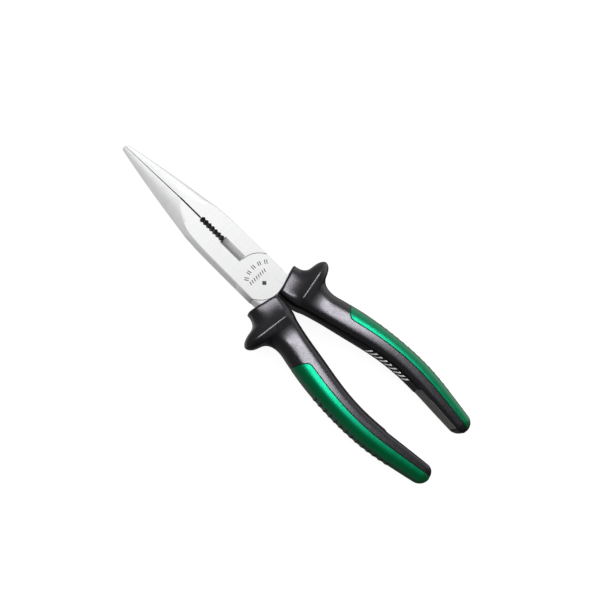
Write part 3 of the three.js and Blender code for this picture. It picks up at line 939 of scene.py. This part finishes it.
body_mesh, overlay_mesh, ribs_mesh = grip_body(), grip_overlay(), grip_ribs()
paint_body(body_mesh, [black, facet_sheen_rubber()])
overlay_mesh.materials.append(green)
ribs_mesh.materials.append(black)
grips = []
for side, body, turn in (("right", "front", 1), ("left", "rear", -1)):
    for label, mesh, slot, replaced in (
        ("grip_moulding", body_mesh, "grip_black", "grip_body"),
        ("grip_inlay", overlay_mesh, "grip_green", "grip_overlay"),
        ("grip_ribs", ribs_mesh, "grip_black", None),
    ):
        own = skewed(mesh.copy(), SKEW * turn)
        if side == "left":
            own = turned_about_y(own)
        node = replaced and f"{side}_{replaced}"
        grips.append(piece(f"{side}_{label}", own, body, node, 60))
print_mesh = skewed(flank_print(), SKEW)
print_mesh.materials.append(white_ink())
grips.append(piece("flank_print", print_mesh, "front", None))

sleeve = sleeve_plastic()
for name in ("left_grip_core", "right_grip_core"):
    node = frame["nodes"][name]
    node.data.materials.clear()
    node.data.materials.append(sleeve)


# ---- Floor, light and camera ----

FLOOR_REACH = 3.0
# Lights on the grips only: name, direction, size, power in watts. Lengths are in metres.
LIT_POINT, LIGHT_DISTANCE = Vector((0.005, -0.06, 0.01)), 0.9
LIGHTS = (
    ("key", (0.16, 0.03, 1), (0.8, 0.115), 24),
    ("fill", (1, -0.1, 0.2), (1.0, 1.2), 6),
)
# The camera: its aim beside the middle of the CAD box, how far it leans from straight above and
# towards which side, which way is up in the picture, and its distance and lens.
AIM_SHIFT = (0.0061, -0.0046)
CAMERA_LEAN, CAMERA_TOWARDS = math.radians(16.70), math.radians(186.6)
PICTURE_UP = math.radians(43.71)
CAMERA_DISTANCE, CAMERA_LENS, CAMERA_SENSOR = 0.3376, 45.19, 36


def floor():
    """A pale floor under the tool, which lights nothing and shows in no reflection."""
    low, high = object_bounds()
    middle = (low + high) / 2
    corners = [(middle.x + a * FLOOR_REACH, middle.y + b * FLOOR_REACH, low.z)
               for a, b in ((-1, -1), (1, -1), (1, 1), (-1, 1))]
    mesh = bpy.data.meshes.new("floor")
    mesh.from_pydata(corners, [], [(0, 1, 2, 3)])
    s = Surface("floor_white", (0.3, 0.3, 0.3), 0.9)
    s.shader.inputs["Emission Color"].default_value = (1, 1, 1, 1)
    s.shader.inputs["Emission Strength"].default_value = 0.9
    mesh.materials.append(s.material)
    made = bpy.data.objects.new("floor", mesh)
    bpy.context.scene.collection.objects.link(made)
    made.visible_glossy = False
    made.visible_diffuse = False
    made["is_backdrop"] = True


def softbox(name, direction, size, power, lit):
    """A rectangular light in a direction from the grips, shining on the objects in lit only."""
    light = bpy.data.lights.new(name, "AREA")
    light.shape, light.size, light.size_y, light.energy = "RECTANGLE", size[0], size[1], power
    lamp = bpy.data.objects.new(name, light)
    back = Vector(direction).normalized()
    upward = (Vector((0, 1, 0)) - back * back.y).normalized()
    turned = Matrix((upward.cross(back), upward, back)).transposed().to_4x4()
    lamp.matrix_world = Matrix.Translation(LIT_POINT + back * LIGHT_DISTANCE) @ turned
    bpy.context.scene.collection.objects.link(lamp)
    receivers = bpy.data.collections.new(f"{name}_receivers")
    for thing in lit:
        receivers.objects.link(thing)
    lamp.light_linking.receiver_collection = receivers


# The studio's brightness against how far a direction leans along an axis. The four lines are
# multiplied together: a grey left side, a dim patch above the handles' tails, a dark one below
# them, and a grey corner low on the right.
SKY = (
    ((1, 0, 0),
     ((-1, 0.57), (-0.2, 0.66), (0.2, 0.98), (0.34, 1.1), (1, 1.13))),
    ((0, 1, -0.6),
     ((-1.2, 0.4), (-0.86, 0.4), (-0.62, 0.8), (-0.47, 1.0), (-0.31, 1.15), (1.2, 1.15))),
    ((0, 0.8, 0.8),
     ((-1.13, 0.14), (-0.77, 0.17), (-0.68, 0.55), (-0.58, 0.7), (-0.42, 0.95), (1.13, 1.0))),
    ((0.71, 0, -0.71),
     ((-1, 1.0), (0.54, 1.0), (0.74, 0.58), (1, 0.5))),
)
# The curves hold leans from -SKY_REACH to SKY_REACH and brightness up to SKY_CEILING.
SKY_REACH, SKY_CEILING = 1.25, 2


def sky():
    """The studio round the tool, seen as pure white by the camera itself."""
    world = bpy.data.worlds.new("studio")
    bpy.context.scene.world = world
    world.use_nodes = True
    nodes, links = world.node_tree.nodes, world.node_tree.links
    where = nodes.new("ShaderNodeTexCoord").outputs["Generated"]
    level = None
    for axis, stops in SKY:
        lean = nodes.new("ShaderNodeVectorMath")
        lean.operation = "DOT_PRODUCT"
        lean.inputs[1].default_value = axis
        links.new(where, lean.inputs[0])
        place = nodes.new("ShaderNodeMapRange")
        place.inputs["From Min"].default_value = -SKY_REACH
        place.inputs["From Max"].default_value = SKY_REACH
        links.new(lean.outputs["Value"], place.inputs["Value"])
        curve = nodes.new("ShaderNodeFloatCurve")
        line = curve.mapping.curves[0]
        while len(line.points) < len(stops):
            line.points.new(0, 0)
        for point, (value, grey) in zip(line.points, stops):
            point.location = ((value / SKY_REACH + 1) / 2, grey / SKY_CEILING)
            point.handle_type = "VECTOR"
        curve.mapping.update()
        links.new(place.outputs["Result"], curve.inputs["Value"])
        product = nodes.new("ShaderNodeMath")
        product.operation = "MULTIPLY"
        product.inputs[1].default_value = SKY_CEILING
        links.new(curve.outputs["Value"], product.inputs[0])
        if level:
            both = nodes.new("ShaderNodeMath")
            both.operation = "MULTIPLY"
            links.new(level, both.inputs[0])
            links.new(product.outputs["Value"], both.inputs[1])
            product = both
        level = product.outputs["Value"]
    seen = nodes.new("ShaderNodeLightPath").outputs["Is Camera Ray"]
    brightness = nodes.new("ShaderNodeMapRange")
    brightness.inputs["To Max"].default_value = 1
    links.new(seen, brightness.inputs["Value"])
    links.new(level, brightness.inputs["To Min"])
    links.new(brightness.outputs["Result"], nodes["Background"].inputs["Strength"])
    nodes["Background"].inputs["Color"].default_value = (1, 1, 1, 1)


def camera():
    """The photograph's view of the tool."""
    middle = (Vector(cad_box[0]) + Vector(cad_box[1])) / 2
    aim = Vector((middle.x + AIM_SHIFT[0], middle.y + AIM_SHIFT[1], PIVOT.z))
    lean, towards = CAMERA_LEAN, CAMERA_TOWARDS
    back = Vector((math.sin(lean) * math.cos(towards), math.sin(lean) * math.sin(towards),
                   math.cos(lean)))
    hint = Vector((math.cos(PICTURE_UP), math.sin(PICTURE_UP), 0))
    upward = (hint - back * hint.dot(back)).normalized()
    sight = Matrix((upward.cross(back), upward, back)).transposed()
    data = bpy.data.cameras.new("camera")
    data.lens, data.sensor_width = CAMERA_LENS, CAMERA_SENSOR
    data.clip_start, data.clip_end = 0.01, 20
    made = bpy.data.objects.new("camera", data)
    made.matrix_world = Matrix.Translation(aim + back * CAMERA_DISTANCE) @ sight.to_4x4()
    bpy.context.scene.collection.objects.link(made)
    bpy.context.scene.camera = made


floor()
sky()
for name, direction, size, power in LIGHTS:
    softbox(name, direction, size, power, grips)
bpy.context.scene.view_settings.view_transform = "Standard"
camera()
